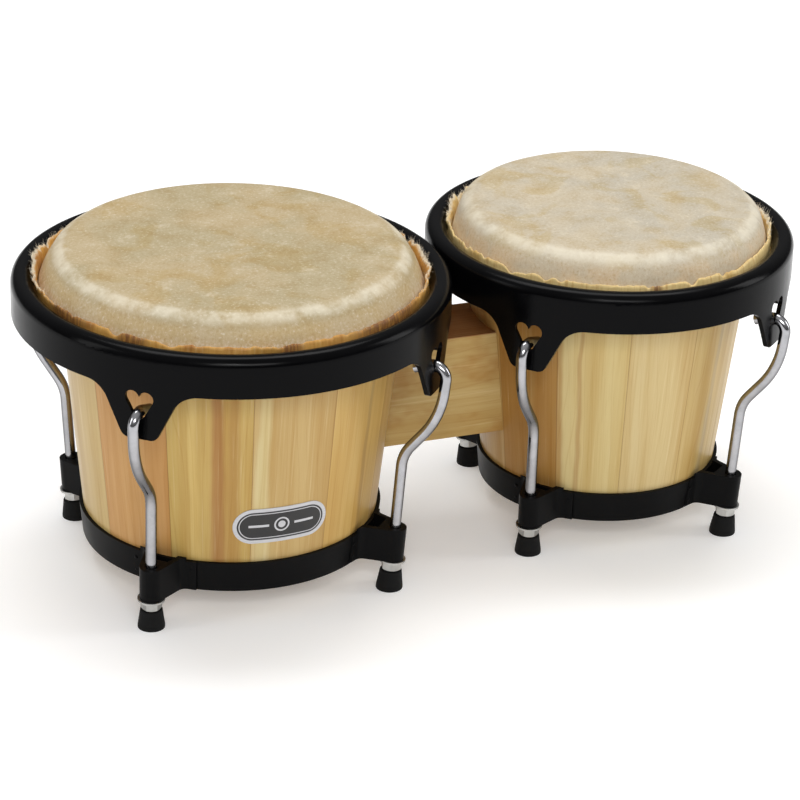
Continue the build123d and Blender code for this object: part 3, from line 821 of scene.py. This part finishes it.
def add_dome(vertices, faces, middle, out, along):
    """Adds a low closed dome that faces out from the middle."""
    upright = out.cross(along)
    loops = [[len(vertices)]]
    vertices.append(middle + out * WELD_HEIGHT)
    for ring in range(1, WELD_RINGS + 1):
        part = ring / WELD_RINGS
        lift = WELD_HEIGHT * (1 - part**2) - (WELD_SUNK if ring == WELD_RINGS else 0.0)
        loop = []
        for step in range(WELD_STEPS):
            turn = 2 * pi * step / WELD_STEPS
            reach = WELD_R * part
            spot = middle + along * reach * cos(turn) + upright * reach * sin(turn)
            loop.append(len(vertices))
            vertices.append(spot + out * lift)
        loops.append(loop)
    for inner, outer in zip(loops, loops[1:]):
        for step in range(WELD_STEPS):
            after = (step + 1) % WELD_STEPS
            corners = [inner[step % len(inner)], outer[step]]
            corners += [outer[after], inner[after % len(inner)]]
            faces.append(tuple(dict.fromkeys(corners)))
    faces.append(tuple(reversed(loops[-1])))


def weld_marks(drum, material):
    """Low domes where each lug's flanges are spot-welded to the band."""
    low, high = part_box(f"{drum.name}_base_band")
    top_r = (high.x - low.x) / 2
    slope = tan(radians(BAND_TAPER))
    vertices = []
    faces = []
    for station in STATION_ANGLES:
        station_angle = radians(drum.first_station + station)
        for side in (-1, 1):
            for up in WELD_UP:
                height = low.z + up
                radius = top_r - (high.z - height) * slope + FLANGE_PLATE - FLANGE_INSIDE
                angle = station_angle + side * asin(WELD_ASIDE / radius)
                out = Vector((cos(angle), sin(angle), -0.1)).normalized()
                along = Vector((-sin(angle), cos(angle), 0))
                middle = drum.centre + Vector((radius * cos(angle), radius * sin(angle), height))
                add_dome(vertices, faces, middle, out, along)
    made = new_object(f"{drum.name}_weld_marks", vertices, faces, material)
    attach(made, "root")


# ---- Materials on the CAD nodes --------------------------------------------------------------

def dress(node_name, material):
    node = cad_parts[node_name]
    node.data.materials.clear()
    node.data.materials.append(material)


def dress_frame():
    """Gives every CAD node its material, and returns the paint that the weld marks share."""
    band_paint = painted_steel("band_paint", 0.38, 0.07, (0.0030, 0.0030, 0.0032))
    rim_paint = painted_steel("rim_paint", 0.20, 0.075, (0.0012, 0.0012, 0.0015))
    # Each metal's second colour is its painted dark reflection where it turns from view
    chrome = bright_metal("rod_chrome", (0.46, 0.46, 0.48), (0.06, 0.06, 0.065), 0.16, 0.05)
    zinc = bright_metal("zinc_steel", (0.60, 0.60, 0.58), (0.30, 0.30, 0.29), 0.34, 1.2)
    black_rubber = rubber()
    kinds = {
        "base_band": band_paint,
        "base_lugs": band_paint,
        "rim": rim_paint,
        "flesh_hoop": zinc,
        "nut_washers": zinc,
        "tension_rod": chrome,
        "tuning_nut": zinc,
        "rubber_foot": black_rubber,
    }
    for drum in DRUMS:
        dress(f"{drum.name}_shell", stave_wood(drum))
        for node_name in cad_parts:
            for kind, material in kinds.items():
                if node_name.startswith(f"{drum.name}_{kind}"):
                    dress(node_name, material)
    for node_name in ("block_bolts", "block_bolt_washers", "block_bolt_nuts"):
        dress(node_name, zinc)
    dress("connecting_block", block_wood())
    dress("shell_label", label_print())
    return band_paint


# ---- Stage -----------------------------------------------------------------------------------

CAMERA_FROM_LARGE = Vector((-0.5315, -1.5667, 0.8661))     # from the foot of the large drum's axis
CAMERA_YAW = 22.03              # degrees, from +Y towards +X
CAMERA_PITCH = 25.02            # degrees downwards
CAMERA_ROLL = -1.94             # degrees
CAMERA_LENS = 151.4             # millimetres
CAMERA_SHIFT = (-0.0078, 0.0004)
FLOOR_HALF = 6.0                # metres
FLOOR_GLOW = 0.22               # keeps the paper white without more light on the drums
SKY_TONES = [(0.0, 0.08), (0.15, 0.11), (0.5, 0.34), (1.0, 0.50)]


def camera():
    yaw = radians(CAMERA_YAW)
    pitch = radians(CAMERA_PITCH)
    roll = radians(CAMERA_ROLL)
    forward = Vector((cos(pitch) * sin(yaw), cos(pitch) * cos(yaw), -sin(pitch)))
    level = Vector((cos(yaw), -sin(yaw), 0))
    below = forward.cross(level)
    right = cos(roll) * level + sin(roll) * below
    down = -sin(roll) * level + cos(roll) * below
    turn = Matrix((right, -down, -forward)).transposed().to_4x4()
    lens = bpy.data.cameras.new("camera")
    lens.lens = CAMERA_LENS
    lens.shift_x, lens.shift_y = CAMERA_SHIFT
    made = bpy.data.objects.new("camera", lens)
    made.matrix_world = Matrix.Translation(LARGE.centre + CAMERA_FROM_LARGE) @ turn
    bpy.context.scene.collection.objects.link(made)
    bpy.context.scene.camera = made


def floor():
    s = Surface("floor_paper", roughness=0.85, specular=0.1)
    tone = s.noise(s.position, 0.004, 2.0)
    s.set("Base Color", s.ramp(tone, [(0.3, (0.90, 0.90, 0.90)), (0.7, (0.93, 0.93, 0.93))]))
    s.set("Emission Color", (1.0, 1.0, 1.0))
    s.set("Emission Strength", FLOOR_GLOW)
    corners = [(x * FLOOR_HALF, y * FLOOR_HALF, 0) for x, y in ((-1, -1), (1, -1), (1, 1), (-1, 1))]
    made = new_object("floor", corners, [(0, 1, 2, 3)], s.material, smooth=False)


def area_light(name, place, aim, size, power):
    """Rectangular light: places and sizes in metres, power in watts."""
    light = bpy.data.lights.new(name, "AREA")
    light.shape = "RECTANGLE"
    light.size, light.size_y = size
    light.energy = power
    made = bpy.data.objects.new(name, light)
    direction = Vector(aim) - Vector(place)
    made.location = place
    made.rotation_euler = direction.to_track_quat("-Z", "Y").to_euler()
    bpy.context.scene.collection.objects.link(made)


def studio_light():
    world = bpy.data.worlds.new("studio")
    bpy.context.scene.world = world
    world.use_nodes = True
    tree = world.node_tree
    background = tree.nodes["Background"]
    direction = tree.nodes.new("ShaderNodeTexCoord").outputs["Generated"]
    height = tree.nodes.new("ShaderNodeSeparateXYZ")
    tree.links.new(direction, height.inputs[0])
    ramp = tree.nodes.new("ShaderNodeValToRGB")
    tree.links.new(height.outputs[2], ramp.inputs[0])
    elements = ramp.color_ramp.elements
    while len(elements) < len(SKY_TONES):
        elements.new(1.0)
    for element, (place, tone) in zip(elements, SKY_TONES):
        element.position = place
        element.color = (tone, tone, tone, 1.0)
    tree.links.new(ramp.outputs[0], background.inputs[0])
    background.inputs[1].default_value = 1.0
    area_light("overhead", (0.1, 0.5, 2.3), (0, 0, 0.1), (2.2, 0.9), 33)
    area_light("key", (-0.6, -2.4, 1.7), (0, 0, 0.1), (1.5, 0.7), 22)
    area_light("flash", (-0.9, -2.3, 2.1), (0, 0, 0.1), (0.4, 0.25), 6)
    area_light("left_strip", (-2.3, 0.1, 0.9), (-0.1, 0, 0.1), (0.6, 1.5), 8)
    area_light("right_strip", (2.4, -0.7, 1.0), (0.1, 0, 0.1), (0.8, 1.5), 16)
    bpy.context.scene.view_settings.view_transform = "Standard"
    bpy.context.scene.view_settings.look = "None"


# ---- The whole scene -------------------------------------------------------------------------

camera()
floor()
studio_light()
weld_paint = dress_frame()

hides = {
    "large": rawhide(LARGE, (0.50, 0.40, 0.245), (0.44, 0.365, 0.225), (0.54, 0.41, 0.22)),
    "small": rawhide(SMALL, (0.57, 0.49, 0.36), (0.51, 0.46, 0.37), (0.68, 0.54, 0.36)),
}
tails = {
    "large": tail_hide(LARGE, (0.70, 0.38, 0.09), (0.50, 0.22, 0.05)),
    "small": tail_hide(SMALL, (0.90, 0.68, 0.30), (0.74, 0.48, 0.16)),
}
hair = fibre_hide()
for drum in DRUMS:
    head_skin(drum, hides[drum.name])
    tail(drum, tails[drum.name])
    fibres(drum, hair)
    weld_marks(drum, weld_paint)
